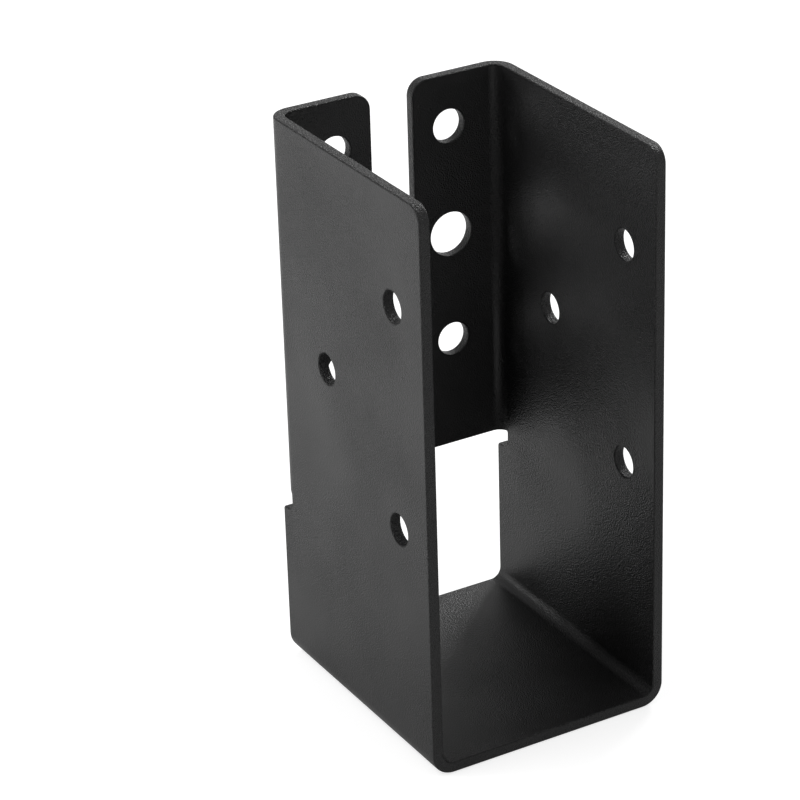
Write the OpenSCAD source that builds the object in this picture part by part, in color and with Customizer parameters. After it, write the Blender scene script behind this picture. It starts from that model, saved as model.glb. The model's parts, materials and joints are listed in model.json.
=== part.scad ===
// Beam hanger: one steel sheet, cut flat and folded into a U-shaped seat
// with two fixing flanges turned inward at the back.
// Millimetres, +Z up. The open front faces -Y and the flanges' backs face +Y.
// The origin is at the middle of the underside.

/* [Channel] */
// Clear width between the two sides, where the beam sits
inner_w = 42; // [40:0.5:100]
// Length of the seat, front edge to back edge
depth = 50; // [45:0.5:90]
// Height, underside to top edge
height = 103; // [95:0.5:180]
// Thickness of the sheet
sheet_t = 2; // [1.5:0.1:3]
// Inside radius of every bend
bend_r = 2; // [1:0.25:3]
// Radius of each side's top front corner
side_corner_r = 3; // [1:0.25:6]

/* [Cut edges] */
// Rounding of the sheet's cut edges, coat included
edge_r = 0.3; // [0.1:0.05:0.5]
// Radius of the small corners, at the back of each side and the foot of each flange
small_corner_r = 0.6; // [0.6:0.1:0.9]

/* [Flanges] */
// Width of each flange, outer face of the side to the free edge
flange_w = 19; // [17:0.25:21]
// Height of the flanges' lower edge above the underside
flange_z = 33.25; // [20:0.25:36]
// Radius of each flange's free top corner
flange_corner_r = 3; // [1:0.25:5]

/* [Relief notches] */
// Height of the notch under each flange's bend
relief_h = 3.6; // [2:0.1:6]
// How far the notch stops short of the line where the bend starts
relief_land = 0.8; // [0:0.1:0.9]
// Radius of the notch's inner lower corner
relief_r = 1.8; // [0.5:0.1:2]

/* [Side holes] */
// Diameter of the screw holes in the sides
side_hole_d = 5.5; // [4:0.1:7]
// Front holes' distance from the front edge
side_front_y = 9.25; // [7:0.25:14]
// Middle hole's distance from the front edge
side_middle_y = 32; // [22:0.25:36]
// Top hole's distance from the top edge
side_top_z = 19.9; // [12:0.1:24]
// Step down from one side hole to the next
side_pitch = 20; // [12:0.5:22]

/* [Flange holes] */
// Diameter of the top and bottom holes in each flange
flange_hole_d = 6; // [4:0.1:8]
// Diameter of the middle hole in each flange
flange_middle_d = 8; // [5:0.1:9]
// Holes' distance from the flange's free edge
flange_hole_x = 7.15; // [6.5:0.05:8]
// Top hole's distance from the top edge
flange_top_z = 9.4; // [8:0.1:12]
// Step down from one flange hole to the next
flange_pitch = 20; // [12:0.5:22]

/* [Hidden] */
$fn = 96;
quarter = 90;
// How far a cut runs past the faces that it passes, in millimetres and in degrees
past = 0.2;
past_angle = 1;
// Outside radius of every bend
outer_r = bend_r + sheet_t;
// Outer face of a side, and the middle of its bends, from the mid plane
half_w = inner_w / 2 + sheet_t;
bend_x = half_w - outer_r;
// Back faces of the flanges, and the middle of their bends
back_y = depth / 2;
bend_y = back_y - outer_r;
front_y = -depth / 2;
// Free edge of a flange from the mid plane
free_x = half_w - flange_w;
// Inner wall and foot of a relief notch
relief_y = bend_y + relief_land;
relief_z = flange_z - relief_h;
// Radius of the notch's corner, kept clear of the rounded corner at the notch's mouth
notch_r = min(relief_r, back_y - relief_y - small_corner_r - past);
// How far round its bend a flange's lower end is joined to the side
joined_angle = asin(relief_land / bend_r);

// What a corner at the origin loses when it is rounded to radius r
module corner_cut(r) {
    difference() {
        translate([-past, -past]) square(r + past);
        translate([r, r]) circle(r);
    }
}

// What the sheet's section loses at a cut end.
// The section runs up along +Y and is sheet_t wide along +X.
module end_cut() {
    corner_cut(edge_r);
    translate([sheet_t, 0]) mirror([1, 0]) corner_cut(edge_r);
}

// Rounds the edges of a flat piece, sheet_t thick on +Z, along a stretch of its border.
// A point of the border is [across, up, radius], with the sheet on the left of the way
// and a negative radius where the corner is hollow.
module border_cut(border) {
    for (i = [1 : len(border) - 1]) {
        from = border[i - 1];
        to = border[i];
        ahead = [to[0] - from[0], to[1] - from[1]];
        r = abs(to[2]);
        length = norm(ahead) - abs(from[2]) - r;
        translate([to[0], to[1]]) rotate(atan2(ahead[1], ahead[0])) translate([-r, 0]) {
            translate([-length, 0, sheet_t]) rotate([0, 90, 0]) linear_extrude(length) end_cut();
            if (to[2] > 0)
                translate([0, r]) rotate(-quarter) rotate_extrude(angle = quarter)
                    translate([r, 0]) rotate(90) end_cut();
            if (to[2] < 0)
                translate([0, -r]) rotate_extrude(angle = quarter)
                    translate([r, sheet_t]) rotate(-90) end_cut();
        }
    }
}

// Drills a flat piece, sheet_t thick on +Z, and rounds the edges of the hole
module hole_cut(d) {
    rotate_extrude() {
        translate([0, -past]) square([d / 2, sheet_t + 2 * past]);
        translate([d / 2, sheet_t]) rotate(-90) end_cut();
    }
}

// Sheet bent a quarter turn about the Z axis, with the edges of both ends rounded.
// The lower end may be joined to other sheet up to an angle, and is rounded from there on.
module bend(length, joined = 0) {
    difference() {
        rotate_extrude(angle = quarter) translate([bend_r, 0]) difference() {
            square([sheet_t, length]);
            translate([0, length]) mirror([0, 1]) end_cut();
        }
        rotate(joined) rotate_extrude(angle = quarter - joined + past_angle)
            translate([bend_r, 0]) end_cut();
    }
}

// Notch that lets the flange bend without tearing the side
module relief_outline() {
    translate([relief_y, relief_z]) difference() {
        square([back_y - relief_y + past, relief_h + past]);
        corner_cut(notch_r);
    }
}

// Outline of the flat part of a side, with Y to the right and Z up
module side_outline() {
    difference() {
        union() {
            translate([front_y, outer_r]) square([bend_y - front_y, height - outer_r]);
            translate([front_y, outer_r]) square([depth, flange_z - outer_r]);
        }
        translate([front_y, height]) mirror([0, 1]) corner_cut(side_corner_r);
        translate([back_y, relief_z]) rotate(180) corner_cut(small_corner_r);
        relief_outline();
    }
}

// Cut borders of a side: the top and front ones, and the back one with the notch
side_borders = [
    [[bend_y, height, 0], [front_y, height, side_corner_r], [front_y, outer_r, 0]],
    [
        [back_y, outer_r, 0],
        [back_y, relief_z, small_corner_r],
        [relief_y, relief_z, -notch_r],
        [relief_y, flange_z, 0]
    ]
];

// Screw holes through a side, as Y and Z of their centres
function side_holes() = [
    for (row = [0 : 2])
        [front_y + (row == 1 ? side_middle_y : side_front_y), height - side_top_z - row * side_pitch]
];

// Flat side on the +X half
module side() {
    translate([half_w - sheet_t, 0, 0]) rotate([90, 0, 90]) difference() {
        linear_extrude(sheet_t) side_outline();
        for (border = side_borders) border_cut(border);
        for (hole = side_holes()) translate(hole) hole_cut(side_hole_d);
    }
}

// Outline of the flat part of a flange, with its free edge on the left and Z up
module flange_outline() {
    difference() {
        translate([free_x, flange_z]) square([bend_x - free_x, height - flange_z]);
        translate([free_x, height]) mirror([0, 1]) corner_cut(flange_corner_r);
        translate([free_x, flange_z]) corner_cut(small_corner_r);
    }
}

// Cut border of a flange, from the top of its bend round to the foot
flange_border = [
    [bend_x, height, 0],
    [free_x, height, flange_corner_r],
    [free_x, flange_z, small_corner_r],
    [bend_x, flange_z, 0]
];

// Flat flange on the +X half
module flange() {
    translate([0, back_y, 0]) rotate([90, 0, 0]) difference() {
        linear_extrude(sheet_t) flange_outline();
        border_cut(flange_border);
        for (row = [0 : 2])
            translate([free_x + flange_hole_x, height - flange_top_z - row * flange_pitch])
                hole_cut(row == 1 ? flange_middle_d : flange_hole_d);
    }
}

// Everything on the +X half apart from the seat
module half() {
    side();
    flange();
    translate([bend_x, bend_y, flange_z]) bend(height - flange_z, joined_angle);
    translate([bend_x, front_y, outer_r]) rotate([-90, 0, 0]) bend(depth);
}

// Flat seat between the two lower bends
module seat() {
    translate([-bend_x, 0, 0]) rotate([90, 0, 90]) linear_extrude(2 * bend_x) difference() {
        translate([front_y, 0]) square([depth, sheet_t]);
        translate([front_y, sheet_t]) rotate(-90) end_cut();
        translate([back_y, 0]) rotate(90) end_cut();
    }
}

// The whole folded sheet
module hanger() {
    color([0.09, 0.09, 0.095]) {
        seat();
        half();
        mirror([1, 0, 0]) half();
    }
}

hanger();
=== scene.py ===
"""Looks of the beam hanger: the folded sheet with soft edges, its powder coat and a plain studio."""
import json
import math

import bpy
import numpy as np
from mathutils import Matrix, Vector
from mathutils.geometry import delaunay_2d_cdt


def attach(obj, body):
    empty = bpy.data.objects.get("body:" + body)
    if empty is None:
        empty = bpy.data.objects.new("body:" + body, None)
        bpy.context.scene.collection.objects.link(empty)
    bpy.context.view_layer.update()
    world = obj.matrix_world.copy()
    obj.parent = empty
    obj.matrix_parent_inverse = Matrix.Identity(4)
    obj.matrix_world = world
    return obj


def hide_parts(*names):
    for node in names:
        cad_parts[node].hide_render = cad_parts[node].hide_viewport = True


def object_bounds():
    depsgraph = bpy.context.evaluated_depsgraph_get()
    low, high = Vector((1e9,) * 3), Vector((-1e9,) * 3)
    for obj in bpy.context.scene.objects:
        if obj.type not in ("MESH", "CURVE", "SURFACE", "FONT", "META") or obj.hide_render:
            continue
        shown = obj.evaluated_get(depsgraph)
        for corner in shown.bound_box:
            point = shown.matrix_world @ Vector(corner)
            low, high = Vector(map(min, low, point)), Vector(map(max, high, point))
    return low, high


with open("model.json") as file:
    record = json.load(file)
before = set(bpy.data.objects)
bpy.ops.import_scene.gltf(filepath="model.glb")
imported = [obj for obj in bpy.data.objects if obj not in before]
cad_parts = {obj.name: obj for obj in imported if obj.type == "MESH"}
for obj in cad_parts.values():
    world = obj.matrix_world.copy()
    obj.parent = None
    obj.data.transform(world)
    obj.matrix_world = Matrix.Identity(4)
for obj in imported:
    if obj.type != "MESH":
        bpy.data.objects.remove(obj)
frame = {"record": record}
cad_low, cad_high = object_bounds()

MM = 0.001
RIGHT_ANGLE = math.pi / 2

# Sizes of the sheet in millimetres, from the frame
MOUNTS = {mount["name"]: mount for mount in frame["record"]["mounts"]}
HALF_W = cad_high.x / MM
FRONT_Y = cad_low.y / MM
BACK_Y = cad_high.y / MM
HEIGHT = cad_high.z / MM
SHEET_T = MOUNTS["seat"]["pos_m"][2] / MM

# Sizes of the sheet in millimetres that the frame doesn't state: the bends' outside radius,
# a flange's width and the height of its lower edge, and the relief notch under its bend
OUTER_R = 4.0
FLANGE_W = 19.0
FLANGE_Z = 33.25
RELIEF_H = 3.6
RELIEF_LAND = 0.8

# Radii in millimetres: corners of the sheet, and the rounding of its cut edges
TOP_CORNER_R = 3.0
NOTCH_FOOT_R = 1.8
NOTCH_HEAD_R = 0.4
CUT_CORNER_R = 0.6
EDGE_R = 0.3

# How finely the mesh is divided: spacings in millimetres, and steps or lines round each form.
# A corner gets the larger number of steps where its radius is above LARGE_CORNER_R.
LATTICE = 2.5
LATTICE_MARGIN = 0.5
BEND_STEPS = 14
NOTCH_LINES = 5
EDGE_STEPS = 5
CORNER_STEPS = 16
SMALL_CORNER_STEPS = 8
LARGE_CORNER_R = 2
HOLE_STEPS = 80

# Small distances in millimetres: how far a point of an edge stays from its ends, what counts as
# lying on a line, what counts as one point, and the step over which the surface's lean is measured.
# A line's place is rounded to LINE_DECIMALS, so that one found twice is kept once.
END_CLEARANCE = 0.05
ON_LINE = 1e-4
ONE_POINT = 1e-6
LEAN_STEP = 1e-3
LINE_DECIMALS = 6

# The flat pattern, along the middle of the sheet's thickness. P runs from the front edge to a
# flange's free edge. Q runs from the top of the left side, down over the seat and up to the top
# of the right side, with 0 in the middle of the seat.
BEND_L = RIGHT_ANGLE * (OUTER_R - SHEET_T / 2)
SEAT_Q = HALF_W - OUTER_R
BEND_Y = BACK_Y - OUTER_R
FREE_P = BEND_Y + BEND_L + FLANGE_W - OUTER_R

# Powder coat: its colour and gloss
COAT_COLOUR = (0.0085, 0.0085, 0.0088, 1)
COAT_IOR = 1.5
COAT_ROUGHNESS = (0.38, 0.46)

# Texture of the coat: scales in cells per metre, depths in millimetres, and the spans of the noise
# that are used. The grain's strength goes from patch to patch, and is CUT_ROUGH on the cut edges.
GLOSS_SCALE = 70
GLOSS_DETAIL = 3.0
GLOSS_SPAN = (0.3, 0.7)
PATCH_SCALE = 35
PATCH_DETAIL = 1.0
PATCH_SPAN = (0.35, 0.65)
PATCH_SHIFT = (0.49, 0.69, 0.71)
GRAIN_SCALE = 4600
GRAIN_DETAIL = 0.4
GRAIN_DEPTH = 0.27
GRAIN_STRENGTH = (0.22, 1.0)
CUT_ROUGH = 1.6
NIB_SCALE = 1000
NIB_DETAIL = 0.0
NIB_SPAN = (0.78, 0.84)
NIB_DEPTH = 0.06

# Floor: half its width and its gap under the seat in metres, its paint, and the light that lifts it
# to white for the camera. Reflections see FLOOR_SHEEN of that light, the first share near the middle
# and the second farther off, and in front of the hanger FLOOR_FRONT_SHARE of this again. These shares
# are painted shade on the floor's glow in reflections: darker close round the hanger and in front of it.
FLOOR_HALF = 3.0
FLOOR_GAP = 0.00005
FLOOR_PAINT = 0.6
FLOOR_LIFT = 0.7
FLOOR_NEAR_FAR = (0.04, 0.14)
FLOOR_SHEEN = (0.28, 0.74)
FLOOR_FRONT_BACK = (-0.08, 0.02)
FLOOR_FRONT_SHARE = 0.3

# Surroundings: the fill that lights the hanger and shows in its reflections, at the left and at the
# right, and the X of the directions between which it grows
WORLD_FILL = (0.15, 0.56)
WORLD_LEFT_RIGHT = (-0.45, 0.15)

# Lamps: name, place, aim and width in metres, power in watts
LAMPS = [
    ("key", (-0.7, 0.1, 0.9), (0, 0, 0.05), 0.6, 4.8),
    ("back", (0.98, 0.64, 0.62), (0, 0, 0.05), 0.4, 6.0),
    ("rim", (-1.0, 0.6, 0.37), (0, 0, 0.02), 0.3, 2.8),
]

# Camera: place, sensor and lens in millimetres, angles in degrees, and clipping in metres
CAMERA_PLACE = (-255.91, -429.13, 299.58)
CAMERA_AZIMUTH = -29.5
CAMERA_ELEVATION = 26.14
CAMERA_ROLL = -1.79
CAMERA_SENSOR = 36.0
CAMERA_LENS = 148.45
CAMERA_CLIP_START = 0.01
CAMERA_CLIP_END = 100


def q_at(z):
    """Q of a height on the flat part of the right side."""
    return SEAT_Q + BEND_L + z - OUTER_R


def fold(p, q, depth):
    """Where points of the flat pattern lie on the folded sheet, at a depth below its outer face."""
    reach = OUTER_R - depth
    up = np.abs(q) - SEAT_Q
    seat_turn = np.clip(up / BEND_L, 0, 1) * RIGHT_ANGLE
    x = np.minimum(np.abs(q), SEAT_Q) + reach * np.sin(seat_turn)
    z = OUTER_R - reach * np.cos(seat_turn) + np.maximum(up - BEND_L, 0)
    along = p - BEND_Y
    flange_turn = np.clip(along / BEND_L, 0, 1) * RIGHT_ANGLE
    bent_x = SEAT_Q + reach * np.cos(flange_turn) - np.maximum(along - BEND_L, 0)
    bent_y = BEND_Y + reach * np.sin(flange_turn)
    # Below the notch the back stays flat, and over the notch's height the bend sets in smoothly
    rise = np.clip((z - FLANGE_Z + RELIEF_H) / RELIEF_H, 0, 1)
    share = np.where(along > 0, rise * rise * (3 - 2 * rise), 0)
    x = x + share * (bent_x - x)
    y = p + share * (bent_y - p)
    return np.stack([np.sign(q) * x, y, z], axis=-1)


def unit(vectors):
    """The same vectors at length 1."""
    return vectors / np.linalg.norm(vectors, axis=-1, keepdims=True)


def normals(p, q, depth, out_p, out_q, outward, inward):
    """Mesh normals, with a part along the pattern's way out and a part inward through the sheet."""
    through = unit(fold(p, q, depth + LEAN_STEP) - fold(p, q, depth - LEAN_STEP))
    if outward == 0:
        return inward * through
    ahead = fold(p + LEAN_STEP * out_p, q + LEAN_STEP * out_q, depth)
    behind = fold(p - LEAN_STEP * out_p, q - LEAN_STEP * out_q, depth)
    return unit(outward * unit(ahead - behind) + inward * through)


def even_lines(start, end):
    """Evenly spaced lines over a flat part."""
    return np.linspace(start, end, max(2, round((end - start) / LATTICE) + 1))


def bend_lines(start):
    """Finer lines over a bend."""
    return np.linspace(start, start + BEND_L, BEND_STEPS + 1)


def lattice_lines():
    """Where the mesh has lines across the pattern, as values of P and of Q."""
    columns = [
        even_lines(FRONT_Y, BEND_Y),
        bend_lines(BEND_Y),
        even_lines(BEND_Y + BEND_L, FREE_P),
    ]
    notch = np.linspace(FLANGE_Z - RELIEF_H, FLANGE_Z, NOTCH_LINES)
    rows = [
        even_lines(0, SEAT_Q),
        bend_lines(SEAT_Q),
        even_lines(q_at(OUTER_R), q_at(notch[0])),
        q_at(notch),
        even_lines(q_at(FLANGE_Z), q_at(HEIGHT)),
    ]
    across = np.unique(np.concatenate(columns).round(LINE_DECIMALS))
    upper = np.unique(np.concatenate(rows).round(LINE_DECIMALS))
    return across, np.unique(np.concatenate([-upper, upper]))


def stops(start, end, lines):
    """The lines that a straight edge crosses, in its own direction, clear of its ends."""
    low, high = min(start, end), max(start, end)
    found = [line for line in lines if low + END_CLEARANCE < line < high - END_CLEARANCE]
    return found if end > start else found[::-1]


def rounded_loop(corners, columns, rows):
    """A closed edge through right-angled corners (p, q, radius), with the sheet on its left.

    Each row holds a point's p and q, and the p and q of the way out of the sheet there.
    """
    points = []
    count = len(corners)
    for index, (p, q, radius) in enumerate(corners):
        next_p, next_q, next_radius = corners[(index + 1) % count]
        before = np.array([p, q]) - corners[index - 1][:2]
        after = np.array([next_p, next_q]) - (p, q)
        into, onward = unit(before), unit(after)
        convex = into[0] * onward[1] - into[1] * onward[0] > 0
        middle = (p, q) - radius * into + radius * onward
        steps = CORNER_STEPS if radius > LARGE_CORNER_R else SMALL_CORNER_STEPS
        for angle in np.linspace(0, RIGHT_ANGLE, steps + 1):
            spoke = math.sin(angle) * into - math.cos(angle) * onward
            points.append([*(middle + radius * spoke), *(spoke if convex else -spoke)])
        start = (p, q) + radius * onward
        end = (p, q) + after - next_radius * onward
        out = (onward[1], -onward[0])
        if abs(onward[0]) > abs(onward[1]):
            points += [[stop, q, *out] for stop in stops(start[0], end[0], columns)]
        else:
            points += [[p, stop, *out] for stop in stops(start[1], end[1], rows)]
    return np.array(points)


def outline(columns, rows):
    """The edge of the flat pattern."""
    notch_foot = q_at(FLANGE_Z - RELIEF_H)
    notch_head = q_at(FLANGE_Z)
    top = q_at(HEIGHT)
    notch_p = BEND_Y + RELIEF_LAND
    right = [
        (BACK_Y, notch_foot, CUT_CORNER_R),
        (notch_p, notch_foot, NOTCH_FOOT_R),
        (notch_p, notch_head, NOTCH_HEAD_R),
        (FREE_P, notch_head, CUT_CORNER_R),
        (FREE_P, top, TOP_CORNER_R),
        (FRONT_Y, top, TOP_CORNER_R),
    ]
    left = [(p, -q, radius) for p, q, radius in reversed(right)]
    return rounded_loop(right + left, columns, rows)


def hole_loop(p, q, radius):
    """The edge of a round hole, with the sheet on its left."""
    angle = np.linspace(0, -2 * math.pi, HOLE_STEPS, endpoint=False)
    spoke = np.stack([np.cos(angle), np.sin(angle)], axis=-1)
    return np.hstack([(p, q) + radius * spoke, -spoke])


def hole_loops():
    """The edges of all the holes, from the mounts that the frame states."""
    found = []
    for mount in MOUNTS.values():
        if mount["kind"] not in ("bolt_pattern", "bore"):
            continue
        dims = mount["dims"]
        x, y, z = (value / MM for value in mount["pos_m"])
        radius = dims.get("hole_r_mm") or dims["r_mm"]
        rise = dims.get("spacing_y_mm", 0) / 2
        for height in sorted({z - rise, z + rise}):
            if mount["axis"][1]:
                p = BEND_Y + BEND_L + SEAT_Q - dims["spacing_x_mm"] / 2
                found += [hole_loop(p, side * q_at(height), radius) for side in (-1, 1)]
            else:
                found.append(hole_loop(y, math.copysign(q_at(height), x), radius))
    return found


def inside(points, loops):
    """Which points lie on the sheet: inside the outline and outside the holes."""
    crossings = np.zeros(len(points), int)
    p, q = points[:, :1], points[:, 1:]
    for loop in loops:
        from_p, from_q = loop[:, 0], loop[:, 1]
        to_p, to_q = np.roll(from_p, -1), np.roll(from_q, -1)
        spans = (from_q > q) != (to_q > q)
        rise = np.where(to_q == from_q, 1, to_q - from_q)
        crossings += (spans & (p < (to_p - from_p) * (q - from_q) / rise + from_p)).sum(axis=1)
    return crossings % 2 == 1


def fold_edges(points, lines, axis, loops):
    """Edges along the lines of a bend, so that no triangle of the skin cuts across a fold."""
    pairs = []
    for line in lines:
        on_line = np.flatnonzero(np.abs(points[:, axis] - line) < ON_LINE)
        on_line = on_line[np.argsort(points[on_line, 1 - axis])]
        steps = zip(on_line[:-1], on_line[1:])
        pairs += [(a, b) for a, b in steps if points[a, 1] * points[b, 1] > 0]
    middles = np.array([(points[a] + points[b]) / 2 for a, b in pairs])
    return [pair for pair, on_sheet in zip(pairs, inside(middles, loops)) if on_sheet]


def in_bend(value, start):
    """Whether a line lies in the bend that starts there."""
    return start - ON_LINE <= value <= start + BEND_L + ON_LINE


def skin(border, sizes, columns, rows):
    """Flat triangles over the pattern inside the border's loops, and the points added for them."""
    loops = np.split(border, np.cumsum(sizes)[:-1])
    grid = np.stack(np.meshgrid(columns, rows), axis=-1).reshape(-1, 2)
    grid = grid[inside(grid, loops)]
    gap = np.sqrt(((grid[:, None] - border[None]) ** 2).sum(axis=-1)).min(axis=1)
    grid = grid[gap > LATTICE_MARGIN]
    points = np.vstack([border, grid])
    edges = []
    start = 0
    for size in sizes:
        edges += [(start + i, start + (i + 1) % size) for i in range(size)]
        start += size
    bend_columns = [line for line in columns if in_bend(line, BEND_Y)]
    bend_rows = [line for line in rows if in_bend(abs(line), SEAT_Q)]
    upper = np.flatnonzero(np.abs(points[:, 1]) > q_at(FLANGE_Z - RELIEF_H))
    edges += [(upper[a], upper[b]) for a, b in fold_edges(points[upper], bend_columns, 0, loops)]
    edges += fold_edges(points, bend_rows, 1, loops)
    edges = [(int(a), int(b)) for a, b in edges]
    made = delaunay_2d_cdt([Vector(point) for point in points], edges, [], 0, ONE_POINT)
    faces, sources = made[2], made[3]
    triangles = np.array([[sources[corner][0] for corner in face] for face in faces])
    triangles = triangles[inside(points[triangles].mean(axis=1), loops)]
    first, second, third = (points[triangles[:, i]] for i in range(3))
    ahead, across = second - first, third - first
    clockwise = ahead[:, 0] * across[:, 1] - ahead[:, 1] * across[:, 0] < 0
    triangles[clockwise] = triangles[clockwise][:, ::-1]
    return grid, triangles


def edge_rings():
    """Rings round a cut edge, outer face to inner: inset, depth, and a normal's parts out and inward."""
    quarter = []
    for angle in np.linspace(0, RIGHT_ANGLE, EDGE_STEPS + 1):
        sine, cosine = math.sin(angle), math.cos(angle)
        quarter.append((EDGE_R * (1 - sine), EDGE_R * (1 - cosine), sine, cosine))
    outer = [(inset, depth, outward, -inward) for inset, depth, outward, inward in quarter]
    inner = [(inset, SHEET_T - depth, outward, inward) for inset, depth, outward, inward in quarter]
    return outer + inner[::-1]


def folded_sheet():
    """The whole hanger as one closed mesh: two skins and the rounded edge between them."""
    columns, rows = lattice_lines()
    loops = [outline(columns, rows), *hole_loops()]
    sizes = [len(loop) for loop in loops]
    p, q, out_p, out_q = np.vstack(loops).T
    total = len(p)
    rings = edge_rings()
    places, leans = [], []
    for inset, depth, outward, inward in rings:
        ring_p, ring_q = p - inset * out_p, q - inset * out_q
        places.append(fold(ring_p, ring_q, depth))
        leans.append(normals(ring_p, ring_q, depth, out_p, out_q, outward, inward))
    border = np.stack([p - EDGE_R * out_p, q - EDGE_R * out_q], axis=-1)
    grid, triangles = skin(border, sizes, columns, rows)
    for depth, inward in ((0, -1), (SHEET_T, 1)):
        places.append(fold(grid[:, 0], grid[:, 1], depth))
        leans.append(normals(grid[:, 0], grid[:, 1], depth, 0, 0, 0, inward))
    faces = []
    start = 0
    for size in sizes:
        for ring in range(len(rings) - 1):
            here, there = ring * total + start, (ring + 1) * total + start
            for i in range(size):
                j = (i + 1) % size
                faces.append((here + i, there + i, there + j, here + j))
        start += size
    # A triangle's corners count the border first, then the grid. The outer skin's border is the
    # first ring and the inner skin's the last, and the two skins' grids come after the rings.
    inner_ring = (len(rings) - 1) * total
    on_border = triangles < total
    outer = np.where(on_border, triangles, triangles + inner_ring)
    inner = np.where(on_border, triangles + inner_ring, triangles + inner_ring + len(grid))
    faces += [tuple(int(corner) for corner in face) for face in [*outer, *inner[:, ::-1]]]
    mesh = bpy.data.meshes.new("folded_sheet")
    mesh.from_pydata((np.vstack(places) * MM).tolist(), [], faces)
    mesh.shade_smooth()
    mesh.normals_split_custom_set_from_vertices(np.vstack(leans).tolist())
    mesh.validate()
    rough = np.zeros(len(mesh.vertices), dtype=np.float32)
    rough[total:inner_ring] = CUT_ROUGH
    mesh.attributes.new("rough", "FLOAT", "POINT").data.foreach_set("value", rough)
    return bpy.data.objects.new("folded_sheet", mesh)


def add_node(tree, kind, inputs=None, **settings):
    """A shader node with its settings, and inputs as values or as sockets to link from."""
    node = tree.nodes.new(kind)
    for name, value in settings.items():
        setattr(node, name, value)
    for name, value in (inputs or {}).items():
        if isinstance(value, bpy.types.NodeSocket):
            tree.links.new(value, node.inputs[name])
        else:
            node.inputs[name].default_value = value
    return node


def new_material(name):
    """An empty node material, and its tree and output node."""
    material = bpy.data.materials.new(name)
    material.use_nodes = True
    tree = material.node_tree
    tree.nodes.clear()
    return material, tree, tree.nodes.new("ShaderNodeOutputMaterial")


def math_node(tree, operation, first, second):
    """Two values combined by one operation."""
    return add_node(tree, "ShaderNodeMath", {0: first, 1: second}, operation=operation).outputs[0]


def noise(tree, place, scale, detail):
    """Fractal noise from 0 to 1, with scale in cells per metre."""
    inputs = {"Vector": place, "Scale": scale, "Detail": detail}
    return add_node(tree, "ShaderNodeTexNoise", inputs).outputs["Fac"]


def spread(tree, value, low, high, to_low, to_high):
    """A value between low and high, spread over another range."""
    limits = {"From Min": low, "From Max": high, "To Min": to_low, "To Max": to_high}
    return add_node(tree, "ShaderNodeMapRange", {"Value": value, **limits}).outputs["Result"]


def bump(tree, height, depth, under=None):
    """A normal bumped by a height of 0 to 1 that stands for a depth in millimetres."""
    inputs = {"Height": height, "Strength": 1.0, "Distance": depth * MM}
    if under:
        inputs["Normal"] = under
    return add_node(tree, "ShaderNodeBump", inputs).outputs["Normal"]


def powder_coat():
    """Satin black powder coat: patchy fine grain, rougher on the cut edges, with a few nibs."""
    material, tree, output = new_material("powder_coat")
    place = add_node(tree, "ShaderNodeTexCoord").outputs["Object"]
    gloss = noise(tree, place, GLOSS_SCALE, GLOSS_DETAIL)
    gloss = spread(tree, gloss, *GLOSS_SPAN, *COAT_ROUGHNESS)
    shift = {0: place, 1: PATCH_SHIFT}
    shifted = add_node(tree, "ShaderNodeVectorMath", shift, operation="ADD").outputs["Vector"]
    patches = noise(tree, shifted, PATCH_SCALE, PATCH_DETAIL)
    patches = spread(tree, patches, *PATCH_SPAN, *GRAIN_STRENGTH)
    rough = add_node(tree, "ShaderNodeAttribute", attribute_name="rough").outputs["Fac"]
    strength = math_node(tree, "MAXIMUM", patches, rough)
    grain = noise(tree, place, GRAIN_SCALE, GRAIN_DETAIL)
    grain = math_node(tree, "MULTIPLY", grain, strength)
    nibs = noise(tree, place, NIB_SCALE, NIB_DETAIL)
    nibs = spread(tree, nibs, *NIB_SPAN, 0, 1)
    normal = bump(tree, grain, GRAIN_DEPTH, bump(tree, nibs, NIB_DEPTH))
    finish = {"Base Color": COAT_COLOUR, "Roughness": gloss, "IOR": COAT_IOR, "Normal": normal}
    coat = add_node(tree, "ShaderNodeBsdfPrincipled", finish)
    tree.links.new(coat.outputs["BSDF"], output.inputs["Surface"])
    return material


def shown(tree, path):
    """1 for a ray from the camera or through glass."""
    return math_node(tree, "MAXIMUM", path["Is Camera Ray"], path["Is Transmission Ray"])


def floor_material():
    """Pale floor that shows as white, with the object's shadow on it, and painted shade in its glow in
    reflections: dimmer round the hanger and in front of it.
    """
    material, tree, output = new_material("pale_floor")
    place = add_node(tree, "ShaderNodeTexCoord").outputs["Object"]
    depth = add_node(tree, "ShaderNodeSeparateXYZ", {"Vector": place}).outputs["Y"]
    distance = add_node(tree, "ShaderNodeVectorMath", {0: place}, operation="LENGTH").outputs["Value"]
    # Painted shade: the floor's glow seen in reflections is lower near the middle, where the hanger
    # stands, and lower in front of it
    far = spread(tree, distance, *FLOOR_NEAR_FAR, *FLOOR_SHEEN)
    behind = spread(tree, depth, *FLOOR_FRONT_BACK, FLOOR_FRONT_SHARE, 1)
    path = add_node(tree, "ShaderNodeLightPath").outputs
    painted_sheen = math_node(tree, "MULTIPLY", far, behind)
    mirrored = math_node(tree, "MULTIPLY", path["Is Glossy Ray"], painted_sheen)
    lift = math_node(tree, "MAXIMUM", shown(tree, path), mirrored)
    lift = math_node(tree, "MULTIPLY", lift, FLOOR_LIFT)
    glow = add_node(tree, "ShaderNodeEmission", {"Strength": lift})
    paint = add_node(tree, "ShaderNodeBsdfDiffuse", {"Color": (FLOOR_PAINT, FLOOR_PAINT, FLOOR_PAINT, 1)})
    both = add_node(tree, "ShaderNodeAddShader")
    tree.links.new(paint.outputs[0], both.inputs[0])
    tree.links.new(glow.outputs[0], both.inputs[1])
    tree.links.new(both.outputs[0], output.inputs["Surface"])
    return material


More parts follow.
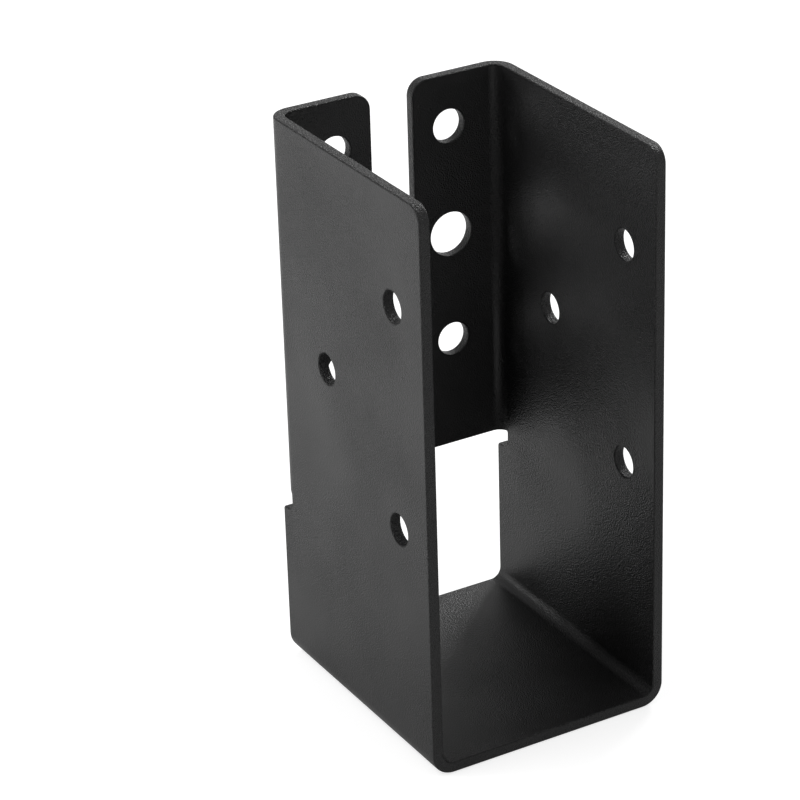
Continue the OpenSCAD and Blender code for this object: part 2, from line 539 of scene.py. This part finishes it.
def make_floor():
    """A wide pale floor, just under the seat so that the two faces don't overlap."""
    half, down = FLOOR_HALF, -FLOOR_GAP
    corners = [(-half, -half, down), (half, -half, down), (half, half, down), (-half, half, down)]
    mesh = bpy.data.meshes.new("floor")
    mesh.from_pydata(corners, [], [(0, 1, 2, 3)])
    floor = bpy.data.objects.new("floor", mesh)
    mesh.materials.append(floor_material())
    bpy.context.scene.collection.objects.link(floor)


def make_world():
    """White to the camera, and a plain soft fill otherwise, dimmer on the left."""
    world = bpy.data.worlds.new("studio")
    bpy.context.scene.world = world
    world.use_nodes = True
    tree = world.node_tree
    path = add_node(tree, "ShaderNodeLightPath").outputs
    direction = add_node(tree, "ShaderNodeTexCoord").outputs["Generated"]
    sideways = add_node(tree, "ShaderNodeSeparateXYZ", {"Vector": direction}).outputs["X"]
    fill = spread(tree, sideways, *WORLD_LEFT_RIGHT, *WORLD_FILL)
    level = math_node(tree, "MAXIMUM", fill, shown(tree, path))
    background = tree.nodes["Background"]
    background.inputs["Color"].default_value = (1, 1, 1, 1)
    tree.links.new(level, background.inputs["Strength"])


def soft_light(name, place, aim, width, power):
    """A square soft light, in metres and watts."""
    data = bpy.data.lights.new(name, "AREA")
    data.size = width
    data.energy = power
    lamp = bpy.data.objects.new(name, data)
    lamp.location = place
    lamp.rotation_euler = (Vector(aim) - Vector(place)).to_track_quat("-Z", "Y").to_euler()
    bpy.context.scene.collection.objects.link(lamp)


def make_camera():
    """The photograph's viewpoint, fitted to the hanger's edges and holes."""
    azimuth = math.radians(CAMERA_AZIMUTH)
    elevation = math.radians(CAMERA_ELEVATION)
    roll = math.radians(CAMERA_ROLL)
    level = math.cos(elevation)
    back = Vector((math.sin(azimuth) * level, -math.cos(azimuth) * level, math.sin(elevation)))
    level_right = Vector((0, 0, 1)).cross(back).normalized()
    level_up = back.cross(level_right)
    right = math.cos(roll) * level_right + math.sin(roll) * level_up
    up = back.cross(right)
    data = bpy.data.cameras.new("camera")
    data.sensor_width = CAMERA_SENSOR
    data.lens = CAMERA_LENS
    data.clip_start = CAMERA_CLIP_START
    data.clip_end = CAMERA_CLIP_END
    camera = bpy.data.objects.new("camera", data)
    turned = Matrix((right, up, back)).transposed().to_4x4()
    camera.matrix_world = Matrix.Translation(Vector(CAMERA_PLACE) * MM) @ turned
    bpy.context.scene.collection.objects.link(camera)
    bpy.context.scene.camera = camera


sheet = folded_sheet()
sheet.data.materials.append(powder_coat())
bpy.context.scene.collection.objects.link(sheet)
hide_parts("hanger")
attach(sheet, "root")

make_floor()
make_world()
make_camera()
for lamp in LAMPS:
    soft_light(*lamp)
bpy.context.scene.view_settings.view_transform = "Standard"
